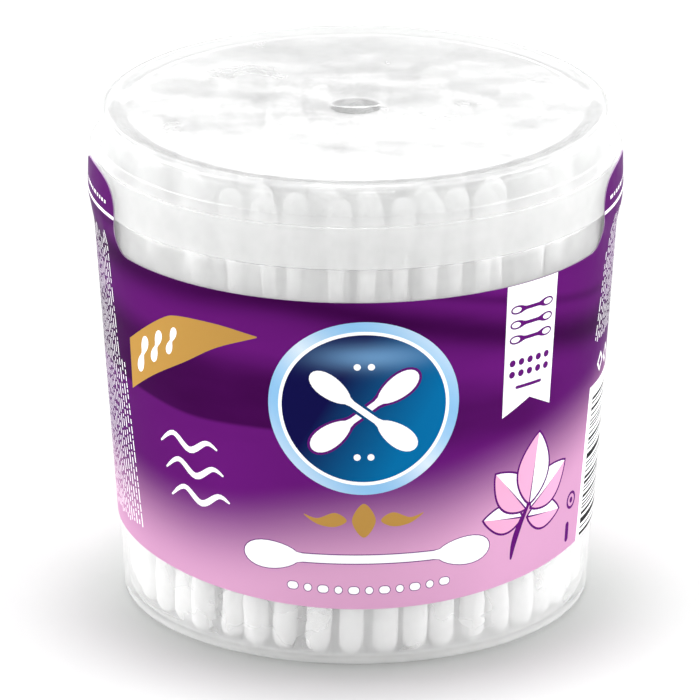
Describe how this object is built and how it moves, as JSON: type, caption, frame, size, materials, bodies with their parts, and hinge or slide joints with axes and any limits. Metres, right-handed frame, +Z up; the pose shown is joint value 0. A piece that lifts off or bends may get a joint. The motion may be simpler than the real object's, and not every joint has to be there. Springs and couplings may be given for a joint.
{
  "type": "cotton swab tub",
  "caption": "Round clear plastic tub with a lift-off lid, a printed film wrap with two tear-off seal tabs, and upright double-ended cotton swabs inside.",
  "frame": {"origin": "centre of the base, on the surface the tub stands on", "axes": "+Z up along the tub's axis; the front of the wrap looks along -Y, and the seal tabs are near -X and +X"},
  "size_m": [0.084, 0.0836, 0.08],
  "materials": {
    "clear_tub": "clear moulded polypropylene, faintly milky",
    "clear_lid": "clear moulded polypropylene, faintly milky",
    "printed_film": "printed gloss film, purple fading to pink",
    "stick_paper": "rolled white paper stick",
    "cotton": "wound bleached cotton"
  },
  "bodies": {
    "tub": {"tub": "clear_tub", "label_wrap": "printed_film", "swab_sticks": "stick_paper", "cotton_tips": "cotton"},
    "lid": {"lid": "clear_lid", "seal_tab_left": "printed_film", "seal_tab_right": "printed_film"}
  },
  "joints": [
    {"name": "lid_lift", "type": "slide", "parent": "tub", "child": "lid", "axis": [0, 0, 1], "range_m": [0, 0.04]}
  ]
}
